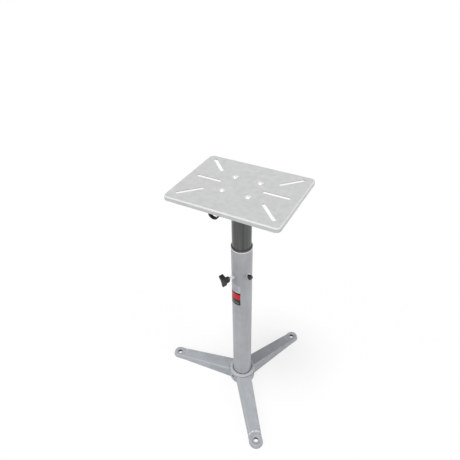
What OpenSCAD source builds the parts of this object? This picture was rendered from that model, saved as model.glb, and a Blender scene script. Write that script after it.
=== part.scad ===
// Height-adjustable pedestal stand for a bench tool: a cast three-leg base,
// a telescoping steel column locked by a hand knob and a screw, and a pressed
// top plate with mounting slots. Millimetres. The origin is on the column axis
// at floor level, +Z is up and -Y is the front edge of the top plate.
// Directions round the column are degrees from the front towards the right.

/* [Base casting] */
// Radius of the circle through the three floor bolt holes
floor_bolt_r = 259.5; // [220:0.5:320]
// Diameter of each floor bolt hole
floor_hole_d = 16; // [10:0.5:18]
// Direction of the first leg
leg_turn = 36.8; // [0:0.1:119]
// Half the width of a leg over its floor edges, at the hub
leg_half_hub = 27.5; // [24:0.5:30]
// Half the width of a leg over its floor edges, at the foot
leg_half_foot = 22.5; // [20:0.5:25]
// How far each leg side leans in from the floor to the top
leg_draft = 3; // [1:0.5:5]
// Height of a leg where it meets the hub
leg_top_hub = 42; // [35:0.5:43]
// Height of a leg where it ends above its foot
leg_top_foot = 17; // [15:0.5:20]
// Height of a foot's level pad
foot_top = 13; // [10:0.5:14]
// Radius of the step round a foot's hole, where the leg ends
foot_step_r = 26.5; // [26:0.5:28]
// Rounding along the upper edges of a leg
leg_edge_r = 4; // [2:0.5:6]
// Level length of a foot, from its hole's axis to the sloping leg
foot_flat = 24; // [20:1:30]
// Radius of a foot's round end at the floor
foot_r = 23; // [21:0.5:24]
// Distance from a foot's hole to the middle of its round end
foot_ahead = 2; // [0:0.5:3]
// Rounding along the upper edge of a foot
foot_edge_r = 2; // [1:0.5:4]
// Thickness of the casting's walls
cast_wall = 5; // [4:0.5:8]
// Outer radius of the hub
hub_r = 45; // [42:0.5:50]
// Height of the hub's collar above the floor
hub_top = 46; // [44:0.5:60]
// Radius of the hollow between the hub and a leg
web_r = 30; // [20:1:40]
// Height of the floor under the column inside the hub
seat_z = 8; // [5:0.5:14]
// Width of the lead-in round the column at the collar's top
bore_lead = 3.5; // [2:0.5:6]

/* [Column] */
// Outer diameter of the lower tube
outer_d = 63.5; // [62:0.1:66]
// Wall of the lower tube
outer_wall = 1.6; // [1.2:0.1:2]
// Height of the top of the lower tube
outer_top = 620; // [560:1:700]
// Outer diameter of the upper tube
inner_d = 57.15; // [56:0.05:57.6]
// Wall of the upper tube
inner_wall = 1.6; // [1.2:0.1:3]
// Length of the upper tube
inner_len = 600; // [540:1:640]
// Length of the plastic bush inside the lower tube
bush_len = 42; // [25:1:60]
// Height of the bush's lip above the lower tube
bush_lip = 5; // [3:0.5:10]
// Thickness of the plug's skirt under the upper tube
plug_skirt = 8; // [5:0.5:14]
// Length of the plug inside the upper tube
plug_len = 16; // [8:1:30]
// Gap all round where one column piece slides in another
slide_fit = 0.08; // [0.04:0.01:0.1]

/* [Column locks] */
// Direction of the hand knob
knob_turn = -23.2; // [-60:0.1:0]
// Drop from the top of the lower tube to the hand knob's axis
knob_drop = 98; // [80:1:150]
// Distance from the column axis to the front of the knob
knob_reach = 74; // [68:0.5:90]
// Distance from the knob's axis to the tip of a lobe
lobe_reach = 20.5; // [18:0.5:28]
// Width of a lobe at its tip
lobe_w = 6.5; // [5:0.5:10]
// Width that a lobe's sides would have at the knob's axis
lobe_root_w = 13.8; // [12:0.2:16]
// Thickness of the lobes along the knob's axis
lobe_t = 13.5; // [10:0.5:18]
// Direction of the clamp screw
clamp_turn = 58.5; // [20:0.1:80]
// Drop from the top of the lower tube to the clamp screw's axis
clamp_drop = 87; // [78:1:150]
// Thread diameter of the knob's stud and of the other column screws
thread_d = 8; // [6:1:8]
// Width of the nuts and of the bolts' nuts across their flats
nut_flats = 13; // [12:0.5:14]
// Thickness of the welded nuts
weld_nut_t = 7; // [5:0.5:8]

/* [Top plate] */
// Height of the top face in the position shown
plate_z = 820; // [680:1:1080]
// Width of the plate, left to right
plate_w = 322; // [300:1:380]
// Depth of the plate, front to rear
plate_d = 251; // [235:1:300]
// How far the plate's middle lies in front of the column
plate_ahead = 4; // [0:0.5:6]
// Thickness of the sheet
plate_t = 2.5; // [1.5:0.1:3.2]
// Height of the turned-down edge, with the sheet
plate_edge = 12.5; // [9:0.5:25]
// Corner radius of the plate
plate_corner = 14; // [8:0.5:22]
// Radius of the bend along the plate's edges
plate_bend = 4.5; // [3.5:0.1:6]
// Distance from the column axis to the ends of the corner slots, sideways
slot_x = 137.8; // [120:0.1:140]
// Distance from the column axis to the ends of the corner slots, front to rear
slot_y = 102.8; // [90:0.1:105]
// Distance from the column axis to the ends of the side slots
side_slot_x = 136.3; // [134:0.1:140]
// Length of each slot
slot_len = 76; // [50:1:80]
// Width of each slot
slot_w = 10.5; // [8:0.1:12]

/* [Post flange] */
// Side of the square flange on the upper tube
flange_w = 104; // [96:1:116]
// Thickness of the flange
flange_t = 5; // [4:0.5:8]
// Distance between neighbouring bolts of the flange
flange_pitch = 74; // [68:1:80]
// Distance from a bolt's axis to the flange's cut corner
flange_margin = 12; // [10:0.5:14]

/* [Tool hook] */
// Distance from the plate's front edge to the middle of the hook's strip
hook_inset = 11.5; // [10:0.5:40]
// Distance of the middle of the bend to the left of the column axis
hook_x = 15; // [0:0.5:60]
// Inside radius of the hook's bend
hook_r = 11.5; // [8:0.5:16]
// Drop from the plate's top face to the bottom of the hook
hook_drop = 32; // [30:0.5:50]
// Width of the hook's strip
hook_w = 10; // [6:0.5:10]
// Thickness of the hook's strip
hook_t = 3; // [2:0.1:4]

/* [Label] */
// Direction of the middle of the label
label_turn = -29; // [-60:1:10]
// Width of the label round the tube
label_w = 52; // [30:1:60]
// Height of the label
label_h = 82; // [40:1:90]
// Drop from the hand knob's axis to the label's upper edge
label_drop = 36; // [20:1:60]

/* [Hidden] */

$fn = 96;
// Thin slice used as the end of a leg's tapered body
slice_t = 0.02;
// Overlap that lets one shape cut right through another
cut = 1;
// Face-to-face gap between a piece and the round face it is fixed on
seat_gap = 0.03;
// Gap all round a screw in its nut or its tapped hole
thread_fit = 0.05;
// Gap between a clamping screw's tip and the tube it presses on
tip_gap = 0.3;

leg_turns = [leg_turn, leg_turn + 120, leg_turn - 120];
gap_turns = [leg_turn + 60, leg_turn + 180, leg_turn - 60];
foot_start = floor_bolt_r - foot_flat;
foot_lap = 9;
foot_tuck = 0.5;
leg_lift = 0.5;
spot_rim = 5;
spot_r = floor_hole_d / 2 + spot_rim;
spot_depth = 1.5;
collar_round = 1.5;
hub_lift = 1;
web_lift = 1.5;
web_drop = 7;
web_top = leg_top_hub - web_drop;
web_lap = 0.5;
leg_root = 12;
hub_backing = 2;
hollow_start = hub_r + hub_backing;

outer_r = outer_d / 2;
inner_r = inner_d / 2;
outer_bore_r = outer_r - outer_wall;
inner_bore_r = inner_r - inner_wall;
flange_top = plate_z - plate_t;
inner_top = flange_top - flange_t;
inner_bottom = inner_top - inner_len;
seat_ledge = 4.6;
lip_round = 1.5;
plug_wall = 3;
weld_leg = 4;
weld_toe = 0.5;

set_screw_z = hub_top / 2 + 1;
set_screw_len = 10;
set_socket_flats = 4;
set_socket_depth = 4;
knob_z = outer_top - knob_drop;
clamp_z = outer_top - clamp_drop;
nut_sink = 2;
weld_nut_face = outer_r + weld_nut_t;
stud_tip = inner_r + tip_gap;
lobe_back = knob_reach - lobe_t;
knob_end_t = 3;
knob_neck = 9;
knob_neck_r = 7;
knob_neck_root_r = 7.8;
knob_core_r = 8.6;
lobe_start = 28.6;
socket_head_d = 15;
socket_head_t = 8;
socket_flats = 6;
socket_depth = 5;
clamp_gap = 3.5;
clamp_head_back = weld_nut_face + clamp_gap;

bolt_pos = flange_pitch / 2;
flange_diagonal = flange_pitch * sqrt(2) + 2 * flange_margin;
bolt_head_d = 17;
bolt_head_t = 3.2;
washer_d = 16;
washer_t = 1.6;
lock_washer_d = 12.8;
lock_washer_t = 2;
nut_t = 6.5;
bolt_past_nut = 2;
bolt_clear = 0.3;

hook_y = plate_d / 2 + plate_ahead - hook_inset;
hook_top = flange_top;
hook_bend_z = plate_z - hook_drop + hook_t + hook_r;
hook_tab_len = 26;
hook_tip_h = 2;
hook_stud_d = 6;
hook_stud_past_nut = 1.5;
hook_stud_x = -hook_x - hook_r - hook_t - hook_tab_len / 2;
hook_nut_flats = 10;
hook_nut_t = 5;
hook_washer_d = 12;
hook_washer_t = 1.2;

label_t = 0.2;
label_gap = 0.1;
label_z = knob_z - label_drop - label_h;
label_angle = label_w / outer_r * 180 / PI;

cast_grey = [0.66, 0.67, 0.69];
tube_grey = [0.63, 0.65, 0.67];
post_grey = [0.33, 0.33, 0.33];
plate_grey = [0.79, 0.79, 0.79];
plastic_black = [0.13, 0.13, 0.14];
steel = [0.75, 0.75, 0.77];
label_red = [0.75, 0.16, 0.2];

// Points of an arc about c, from angle a0 to a1
function arc_points(c, r, a0, a1, n = 6) =
    [for (i = [0 : n]) let (a = a0 + (a1 - a0) * i / n) [c[0] + r * cos(a), c[1] + r * sin(a)]];

// Section of a leg or of its hollow: upright sides that lean in, with round upper corners
function leg_section(half_floor, half_top, top, r) = concat(
    [[-half_floor, 0], [half_floor, 0]],
    arc_points([half_top - r, top - r], r, 0, 90),
    arc_points([r - half_top, top - r], r, 90, 180));

// Turns children from the front direction (-Y) to a direction round the column
module round_column(turn) {
    rotate([0, 0, turn]) children();
}

// Lays a vertical shape's axis along the front direction, starting at radius r and height z
module radial(turn, r, z) {
    round_column(turn) translate([0, -r, z]) rotate([90, 0, 0]) children();
}

module ring(r_out, r_in, h) {
    difference() {
        cylinder(r = r_out, h = h);
        translate([0, 0, -cut]) cylinder(r = r_in, h = h + 2 * cut);
    }
}

module hex_prism(flats, h) {
    cylinder(d = flats / cos(30), h = h, $fn = 6);
}

// Height and half width of a leg at distance s from the column axis
function leg_share(s) = (s - hub_r) / (foot_start - hub_r);
function leg_top(s) = leg_top_hub + (leg_top_foot - leg_top_hub) * leg_share(s);
function leg_half(s) = leg_half_hub + (leg_half_foot - leg_half_hub) * leg_share(s);

// Thin upright slice across a leg at distance s from the column axis
module leg_slice(s, half_floor, floor_z, top, r) {
    translate([0, -s, floor_z]) rotate([90, 0, 0]) linear_extrude(slice_t)
        polygon(leg_section(half_floor, half_floor - leg_draft, top - floor_z, r));
}

// Solid tapered body of one leg, from inside the hub to inside the foot
module leg_body() {
    hull() {
        for (s = [hub_r - leg_root, foot_start + foot_lap])
            leg_slice(s, leg_half(s), leg_lift, leg_top(s), leg_edge_r);
    }
}

// Half of a turned section: flat below, a side that leans in and a rounded upper edge
function turned_section(r_floor, r_top, top, r) = concat(
    [[0, 0], [r_floor, 0]],
    arc_points([r_top - r, top - r], r, 0, 90),
    [[0, top]]);

// Level foot with a round end, from inside the leg's end
module foot_body() {
    hull() {
        leg_slice(foot_start - foot_lap, leg_half_foot - foot_tuck, 0, foot_top, foot_edge_r);
        translate([0, -floor_bolt_r - foot_ahead, 0]) rotate_extrude($fn = 48)
            polygon(turned_section(foot_r, foot_r - leg_draft, foot_top, foot_edge_r));
    }
}

// Hollow under a leg, open to the floor
module leg_hollow() {
    a = hollow_start;
    b = foot_start - foot_lap - cast_wall;
    side = leg_draft + cast_wall;
    intersection() {
        rotate([90, 0, 90]) translate([0, 0, -hub_r]) linear_extrude(2 * hub_r)
            polygon([[-a, -cut], [-b, -cut], [-b, leg_top(b) - cast_wall], [-a, leg_top(a) - cast_wall]]);
        translate([0, 0, -2 * cut]) linear_extrude(hub_top) polygon([
            [side - leg_half(a), -a + cut], [leg_half(a) - side, -a + cut],
            [leg_half(b) - side, -b - cut], [side - leg_half(b), -b - cut]]);
    }
}

module one_leg() {
    difference() {
        union() {
            leg_body();
            foot_body();
        }
        leg_hollow();
        // Step down to the level pad
        translate([0, -floor_bolt_r, foot_top]) cylinder(r = foot_step_r, h = leg_top_hub);
    }
}

// Fillets in plan that carry the sides of a leg into the hub
module web_plan() {
    half = leg_half_hub - leg_draft;
    along = sqrt(pow(hub_r + web_r - web_lap, 2) - pow(half + web_r, 2));
    for (side = [-1, 1]) difference() {
        polygon([[0, 0], [0, -along], [side * (half + web_r), -along]]);
        translate([side * (half + web_r), -along]) circle(r = web_r);
    }
}

module base_casting() {
    color(cast_grey) difference() {
        union() {
            translate([0, 0, hub_lift]) rotate_extrude()
                polygon(turned_section(hub_r, hub_r, hub_top - hub_lift, collar_round));
            for (t = leg_turns) round_column(t) {
                one_leg();
                translate([0, 0, web_lift]) linear_extrude(web_top - web_lift) web_plan();
            }
        }
        // Seat of the column, its lead-in and the hole under it
        translate([0, 0, seat_z]) cylinder(r = outer_r + slide_fit, h = hub_top);
        translate([0, 0, hub_top - bore_lead])
            cylinder(r1 = outer_r + slide_fit, r2 = outer_r + slide_fit + bore_lead + cut,
                     h = bore_lead + cut);
        translate([0, 0, -cut]) cylinder(r = outer_r - seat_ledge, h = hub_top);
        for (t = gap_turns) radial(t, outer_r - cut, set_screw_z)
            cylinder(d = thread_d + 2 * thread_fit, h = hub_r);
        for (t = leg_turns) round_column(t) translate([0, -floor_bolt_r, 0]) {
            translate([0, 0, -cut]) cylinder(d = floor_hole_d, h = foot_top + 2 * cut);
            translate([0, 0, foot_top - spot_depth]) cylinder(r = spot_r, h = foot_top);
        }
    }
}

module set_screws() {
    color(steel) for (t = gap_turns) radial(t, outer_r + seat_gap, set_screw_z) difference() {
        cylinder(d = thread_d, h = set_screw_len);
        translate([0, 0, set_screw_len - set_socket_depth])
            hex_prism(set_socket_flats, set_socket_depth + cut);
    }
}

// Hole for a screw through the wall of the lower tube
module tube_hole(turn, z) {
    radial(turn, inner_r, z) cylinder(d = thread_d + 2 * cut, h = outer_r - inner_r + cut);
}

module outer_tube() {
    color(tube_grey) difference() {
        translate([0, 0, seat_z]) ring(outer_r, outer_bore_r, outer_top - seat_z);
        tube_hole(knob_turn, knob_z);
        tube_hole(clamp_turn, clamp_z);
    }
}

module column_bush() {
    color(plastic_black) difference() {
        union() {
            translate([0, 0, outer_top - bush_len]) cylinder(r = outer_bore_r - seat_gap, h = bush_len);
            translate([0, 0, outer_top]) cylinder(r = outer_r, h = bush_lip - lip_round);
            translate([0, 0, outer_top + bush_lip - lip_round])
                cylinder(r1 = outer_r, r2 = outer_r - lip_round, h = lip_round);
        }
        translate([0, 0, outer_top - bush_len - cut])
            cylinder(r = inner_r + slide_fit, h = bush_len + bush_lip + 2 * cut);
    }
}

module inner_tube() {
    color(post_grey) translate([0, 0, inner_bottom]) ring(inner_r, inner_bore_r, inner_len);
}

module guide_plug() {
    color(plastic_black) difference() {
        union() {
            translate([0, 0, inner_bottom - plug_skirt])
                cylinder(r = outer_bore_r - slide_fit, h = plug_skirt - slide_fit);
            translate([0, 0, inner_bottom - slide_fit - cut])
                cylinder(r = inner_bore_r - slide_fit, h = plug_len + slide_fit + cut);
        }
        translate([0, 0, inner_bottom - plug_skirt + plug_wall])
            cylinder(r = inner_bore_r - slide_fit - plug_wall, h = plug_skirt + plug_len);
    }
}

// Hexagon nut whose inner end is cut to sit on the lower tube
module weld_nut(turn, z) {
    difference() {
        radial(turn, outer_r - nut_sink, z) hex_prism(nut_flats, weld_nut_t + nut_sink);
        cylinder(r = outer_r + seat_gap, h = outer_top);
        radial(turn, inner_r, z) cylinder(d = thread_d + 2 * thread_fit, h = outer_r);
    }
}

module knob_weld_nut() {
    color(steel) weld_nut(knob_turn, knob_z);
}

module knob_stud() {
    color(steel) radial(knob_turn, stud_tip, knob_z)
        cylinder(d = thread_d, h = knob_reach - knob_end_t - tip_gap - stud_tip);
}

// Plan of the knob: three lobes that narrow to their round tips
module knob_plan() {
    tip = lobe_reach - lobe_w / 2;
    circle(r = knob_core_r);
    for (i = [0 : 2]) rotate(lobe_start + 120 * i) {
        polygon([[0, -lobe_root_w / 2], [tip, -lobe_w / 2], [tip, lobe_w / 2], [0, lobe_root_w / 2]]);
        translate([tip, 0]) circle(d = lobe_w);
    }
}

module knob_body() {
    color(plastic_black) difference() {
        union() {
            radial(knob_turn, lobe_back, knob_z) linear_extrude(lobe_t) knob_plan();
            radial(knob_turn, lobe_back - knob_neck, knob_z)
                cylinder(r1 = knob_neck_r, r2 = knob_neck_root_r, h = knob_neck + cut);
        }
        radial(knob_turn, lobe_back - knob_neck - cut, knob_z)
            cylinder(d = thread_d + 2 * thread_fit, h = knob_neck + cut + lobe_t - knob_end_t);
    }
}

module clamp_weld_nut() {
    color(steel) weld_nut(clamp_turn, clamp_z);
}

module clamp_screw() {
    color(plastic_black) difference() {
        union() {
            radial(clamp_turn, stud_tip, clamp_z)
                cylinder(d = thread_d, h = clamp_head_back - stud_tip + cut);
            radial(clamp_turn, clamp_head_back, clamp_z) cylinder(d = socket_head_d, h = socket_head_t);
        }
        radial(clamp_turn, clamp_head_back + socket_head_t - socket_depth, clamp_z)
            hex_prism(socket_flats, socket_depth + cut);
    }
}

// Places children at the four flange bolts, at height z
module at_bolts(z) {
    for (x = [-1, 1], y = [-1, 1]) translate([x * bolt_pos, y * bolt_pos, z]) children();
}

module square_block(w, z, h) {
    translate([-w / 2, -w / 2, z]) cube([w, w, h]);
}

// Square flange with cut corners and the weld bead that joins it to the upper tube
module post_flange() {
    color(post_grey) difference() {
        union() {
            intersection() {
                square_block(flange_w, inner_top, flange_t);
                rotate([0, 0, 45]) square_block(flange_diagonal, inner_top, flange_t);
            }
            translate([0, 0, inner_top - weld_leg])
                cylinder(r1 = inner_r + weld_toe, r2 = inner_r + weld_leg, h = weld_leg);
            translate([0, 0, inner_top - slice_t]) cylinder(r = inner_r + weld_leg, h = flange_t / 2);
        }
        translate([0, 0, inner_top - weld_leg - cut]) cylinder(r = inner_r + seat_gap, h = weld_leg + cut);
        at_bolts(inner_top - cut) cylinder(d = thread_d + 2 * bolt_clear, h = flange_t + 2 * cut);
    }
}

// Section of the pan: flat with rounded upper corners
module pan_section(w, h, r) {
    translate([-w / 2, 0]) square([w, h - r]);
    translate([-w / 2 + r, 0]) square([w - 2 * r, h]);
    for (x = [-1, 1]) translate([x * (w / 2 - r), h - r]) circle(r = r);
}

// Half of the section of a round corner of the pan
module corner_section(r_out, h, r) {
    intersection() {
        pan_section(2 * r_out, h, r);
        square([r_out, h]);
    }
}

// Solid block with rounded corners in plan and a rounded upper edge, its top at z = 0
module pan_block(w, d, corner, h, r) {
    translate([0, 0, -h]) {
        rotate([90, 0, 90]) translate([0, 0, -(w / 2 - corner)])
            linear_extrude(w - 2 * corner) pan_section(d, h, r);
        rotate([90, 0, 0]) translate([0, 0, -(d / 2 - corner)])
            linear_extrude(d - 2 * corner) pan_section(w, h, r);
        for (x = [-1, 1], y = [-1, 1]) translate([x * (w / 2 - corner), y * (d / 2 - corner), 0])
            rotate_extrude() corner_section(corner, h, r);
    }
}

// Slot that ends at x, y and runs towards the middle along direction a
module slot(x, y, a) {
    translate([x, y, 0]) rotate(a) {
        translate([slot_w / 2, 0]) circle(d = slot_w);
        translate([slot_len - slot_w / 2, 0]) circle(d = slot_w);
        translate([slot_w / 2, -slot_w / 2]) square([slot_len - slot_w, slot_w]);
    }
}

module top_plate() {
    color(plate_grey) difference() {
        translate([0, -plate_ahead, plate_z])
            pan_block(plate_w, plate_d, plate_corner, plate_edge, plate_bend);
        translate([0, -plate_ahead, plate_z - plate_t])
            pan_block(plate_w - 2 * plate_t, plate_d - 2 * plate_t, plate_corner - plate_t,
                      plate_edge, plate_bend - plate_t);
        translate([0, 0, plate_z - plate_t - cut]) linear_extrude(plate_t + 2 * cut) {
            for (m = [0, 1], n = [0, 1]) mirror([m, 0]) mirror([0, n]) slot(slot_x, slot_y, 225);
            for (m = [0, 1]) mirror([m, 0]) slot(side_slot_x, 0, 180);
        }
        at_bolts(plate_z - plate_t - cut) cylinder(d = thread_d + 2 * bolt_clear, h = plate_t + 2 * cut);
    }
}

module flange_bolts() {
    grip = plate_t + flange_t + washer_t + lock_washer_t + nut_t + bolt_past_nut;
    dome_r = (pow(bolt_head_d / 2, 2) + pow(bolt_head_t, 2)) / (2 * bolt_head_t);
    color(steel) at_bolts(plate_z) {
        intersection() {
            translate([0, 0, bolt_head_t - dome_r]) sphere(r = dome_r);
            cylinder(d = bolt_head_d, h = bolt_head_t + cut);
        }
        translate([0, 0, -grip]) cylinder(d = thread_d, h = grip + cut);
    }
}

module flange_washers() {
    color(steel) at_bolts(inner_top - washer_t) ring(washer_d / 2, thread_d / 2 + bolt_clear, washer_t);
}

module flange_lock_washers() {
    color(steel) at_bolts(inner_top - washer_t - lock_washer_t)
        ring(lock_washer_d / 2, thread_d / 2 + bolt_clear, lock_washer_t);
}

module flange_nuts() {
    color(steel) at_bolts(inner_top - washer_t - lock_washer_t - nut_t) difference() {
        hex_prism(nut_flats, nut_t);
        translate([0, 0, -cut]) cylinder(d = thread_d + 2 * thread_fit, h = nut_t + 2 * cut);
    }
}

// Strip bent to a hook: a tab under the plate, a drop, a half-round bend and an upturned tip
module hook_outline() {
    out_r = hook_r + hook_t;
    difference() {
        union() {
            circle(r = out_r);
            translate([-out_r, 0]) square([hook_t, hook_top - hook_bend_z]);
            translate([hook_r, 0]) square([hook_t, hook_tip_h]);
            translate([-out_r - hook_tab_len, hook_top - hook_bend_z - hook_t])
                square([hook_tab_len + hook_t, hook_t]);
        }
        circle(r = hook_r);
        translate([-hook_r, 0]) square([2 * hook_r, hook_r + hook_t]);
        translate([hook_r - cut, hook_tip_h]) square([hook_t + 2 * cut, out_r]);
    }
}

module tool_hook() {
    color(plastic_black) difference() {
        translate([-hook_x, -hook_y + hook_w / 2, hook_bend_z]) rotate([90, 0, 0])
            linear_extrude(hook_w) hook_outline();
        translate([hook_stud_x, -hook_y, hook_top - hook_t - cut])
            cylinder(d = hook_stud_d + 2 * bolt_clear, h = hook_t + 2 * cut);
    }
}

module hook_stud() {
    length = hook_t + hook_washer_t + hook_nut_t + hook_stud_past_nut;
    color(steel) translate([hook_stud_x, -hook_y, hook_top - length])
        cylinder(d = hook_stud_d, h = length);
}

module hook_washer() {
    color(steel) translate([hook_stud_x, -hook_y, hook_top - hook_t - hook_washer_t])
        ring(hook_washer_d / 2, hook_stud_d / 2 + bolt_clear, hook_washer_t);
}

module hook_nut() {
    bottom = hook_top - hook_t - hook_washer_t - hook_nut_t;
    color(steel) translate([hook_stud_x, -hook_y, bottom]) difference() {
        hex_prism(hook_nut_flats, hook_nut_t);
        translate([0, 0, -cut]) cylinder(d = hook_stud_d + 2 * thread_fit, h = hook_nut_t + 2 * cut);
    }
}

// Printed label wrapped round the lower tube
module label() {
    color(label_red) translate([0, 0, label_z])
        rotate([0, 0, label_turn - 90 - label_angle / 2]) rotate_extrude(angle = label_angle)
            translate([outer_r + label_gap, 0]) square([label_t, label_h]);
}

base_casting();
set_screws();
outer_tube();
column_bush();
inner_tube();
guide_plug();
knob_weld_nut();
knob_stud();
knob_body();
clamp_weld_nut();
clamp_screw();
post_flange();
top_plate();
flange_bolts();
flange_washers();
flange_lock_washers();
flange_nuts();
tool_hook();
hook_stud();
hook_washer();
hook_nut();
label();
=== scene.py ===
"""Pedestal stand for a bench tool: its looks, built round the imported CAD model.

Metres. The column stands at the origin, +Z is up and -Y is the front edge of the top plate.
Directions round the column are degrees from the front towards the right.
"""
import math

import bmesh
import bpy
import numpy as np
from mathutils import Matrix, Vector


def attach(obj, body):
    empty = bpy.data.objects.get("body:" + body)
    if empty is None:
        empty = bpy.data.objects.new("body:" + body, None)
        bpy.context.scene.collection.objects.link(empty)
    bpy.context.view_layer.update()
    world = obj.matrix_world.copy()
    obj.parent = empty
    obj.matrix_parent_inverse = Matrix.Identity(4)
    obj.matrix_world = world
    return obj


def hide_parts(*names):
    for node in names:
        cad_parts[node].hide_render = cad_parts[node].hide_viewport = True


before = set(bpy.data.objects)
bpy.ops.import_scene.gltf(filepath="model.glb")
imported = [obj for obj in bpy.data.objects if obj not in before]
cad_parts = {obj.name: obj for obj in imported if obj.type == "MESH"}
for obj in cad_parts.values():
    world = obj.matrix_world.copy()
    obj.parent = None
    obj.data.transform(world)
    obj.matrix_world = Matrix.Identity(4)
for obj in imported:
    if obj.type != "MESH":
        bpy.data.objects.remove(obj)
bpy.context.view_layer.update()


# Studio
# A plain white floor under soft light from above, the front left and the right. The camera stands
# where the photograph was taken from, solved from the plate, the tubes and the floor bolt holes.
camera_lens, camera_sensor = 32.89, 36
camera_place = (0.4283, -0.8357, 1.3883)
camera_right = Vector((0.8805, 0.4736, -0.0200))
camera_up = Vector((-0.2717, 0.5388, 0.7974))
sky_level = 0.30
floor_side, floor_drop = 60.0, 0.0004
floor_white, floor_shown, floor_glow = 0.5, 0.28, 0.735


class Socket:
    """A node's socket. Arithmetic on it adds Math nodes to its tree."""

    def __init__(self, nodes, socket):
        self.nodes, self.socket = nodes, socket

    def math(self, operation, *values):
        return self.nodes.add("ShaderNodeMath", values, operation=operation)

    def __add__(self, other):
        return self.math("ADD", self, other)

    def __radd__(self, other):
        return self.math("ADD", other, self)

    def __sub__(self, other):
        return self.math("SUBTRACT", self, other)

    def __rsub__(self, other):
        return self.math("SUBTRACT", other, self)

    def __mul__(self, other):
        return self.math("MULTIPLY", self, other)

    def __rmul__(self, other):
        return self.math("MULTIPLY", other, self)

    def __truediv__(self, other):
        return self.math("DIVIDE", self, other)

    def __rtruediv__(self, other):
        return self.math("DIVIDE", other, self)

    def __pow__(self, other):
        return self.math("POWER", self, other)

    def __abs__(self):
        return self.math("ABSOLUTE", self)

    def __gt__(self, other):
        return self.math("GREATER_THAN", self, other)

    def __lt__(self, other):
        return self.math("LESS_THAN", self, other)

    def part(self):
        """What is left above the whole number."""
        return self.math("FRACT", self)

    def root(self):
        return self.math("SQRT", self)

    def cosine(self):
        return self.math("COSINE", self)

    def sine(self):
        return self.math("SINE", self)

    def angle(self, beside):
        """The angle whose tangent is this value over the one beside it, all the way round."""
        return self.math("ARCTAN2", self, beside)

    def low(self, other):
        return self.math("MINIMUM", self, other)

    def high(self, other):
        return self.math("MAXIMUM", self, other)

    def ramp(self, start, end):
        """0 at start, 1 at end, a straight run between them and level past both."""
        return self.nodes.add("ShaderNodeMapRange", [self, start, end, 0.0, 1.0])


class Nodes:
    """A node tree under construction."""

    def __init__(self, tree):
        self.tree = tree

    def add(self, kind, inputs=(), output=0, **settings):
        """Adds a node: its settings first, then the values or links of its sockets."""
        made = self.tree.nodes.new(kind)
        for name, value in settings.items():
            setattr(made, name, value)
        for key, value in inputs.items() if isinstance(inputs, dict) else enumerate(inputs):
            if isinstance(value, Socket):
                self.tree.links.new(value.socket, made.inputs[key])
            else:
                made.inputs[key].default_value = value
        return Socket(self, made.outputs[output])

    def axes(self, place):
        """The three coordinates of a place."""
        split = self.add("ShaderNodeSeparateXYZ", [place])
        return [Socket(self, output) for output in split.socket.node.outputs]

    def mix(self, share, colour_a, colour_b):
        """Colour a where share is 0, colour b where it is 1."""
        return self.add("ShaderNodeMix", {0: share, 6: colour_a, 7: colour_b}, 2, data_type="RGBA")


class Finish(Nodes):
    """A painted, plated or moulded surface: one Principled shader and what feeds it."""

    def __init__(self, name, **constants):
        self.material = bpy.data.materials.new(name)
        self.material.use_nodes = True
        super().__init__(self.material.node_tree)
        self.shader = self.tree.nodes["Principled BSDF"]
        self.place = self.add("ShaderNodeTexCoord", output="Object")
        self.feed(**constants)

    def feed(self, **inputs):
        for name, value in inputs.items():
            socket = self.shader.inputs[name.replace("_", " ")]
            if isinstance(value, Socket):
                self.tree.links.new(value.socket, socket)
            else:
                socket.default_value = value

    def noise(self, size, detail=2.0, stretch=(1, 1, 1)):
        """Cloudy variation with a mean of a half, in patches of the given size in metres."""
        where = self.place if stretch == (1, 1, 1) else self.add(
            "ShaderNodeMapping", {"Vector": self.place, "Scale": stretch})
        return self.add("ShaderNodeTexNoise", {"Vector": where, "Scale": 1 / size, "Detail": detail})

    def dimples(self, size):
        """Rounded cells of the given size in metres, 0 at their middles."""
        return self.add("ShaderNodeTexVoronoi", {"Vector": self.place, "Scale": 1 / size},
                        feature="SMOOTH_F1")

    def relief(self, height):
        """Bumps of the given height in metres."""
        self.feed(Normal=self.add("ShaderNodeBump", {"Height": height, "Distance": 1.0}))


def colour(red, green, blue):
    """A colour as a paint chart gives it, 0 to 255, in the linear values that shaders use."""
    return tuple(((c / 255 + 0.055) / 1.055) ** 2.4 for c in (red, green, blue)) + (1.0,)


def grey(level):
    """A grey of the given linear level."""
    return (level, level, level, 1.0)


def place_object(name, data):
    made = bpy.data.objects.new(name, data)
    bpy.context.scene.collection.objects.link(made)
    return made


def looked_at(nodes):
    """1 where the studio is seen or mirrored, 0 where it only lights the stand."""
    seen, *mirrored = (nodes.add("ShaderNodeLightPath", output=ray)
                       for ray in ("Is Camera Ray", "Is Glossy Ray", "Is Transmission Ray"))
    for ray in mirrored:
        seen = seen.high(ray)
    return seen


def soft_light(name, azimuth, elevation, spread, level):
    """Even light from one side, which lights a white surface that faces it to the given level."""
    lamp = place_object(name, bpy.data.lights.new(name, "SUN"))
    lamp.data.angle = math.radians(spread)
    lamp.data.energy = level * math.pi
    turn, rise = math.radians(azimuth), math.radians(elevation)
    away = Vector((math.sin(turn) * math.cos(rise), -math.cos(turn) * math.cos(rise), math.sin(rise)))
    lamp.matrix_world = away.to_track_quat("Z", "Y").to_matrix().to_4x4()


scene = bpy.context.scene
scene.view_settings.view_transform = "Standard"

camera = place_object("camera", bpy.data.cameras.new("camera"))
camera.data.lens, camera.data.sensor_width = camera_lens, camera_sensor
camera.matrix_world = Matrix.Translation(camera_place) @ Matrix(
    (camera_right, camera_up, camera_right.cross(camera_up))).transposed().to_4x4()
scene.camera = camera

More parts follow.
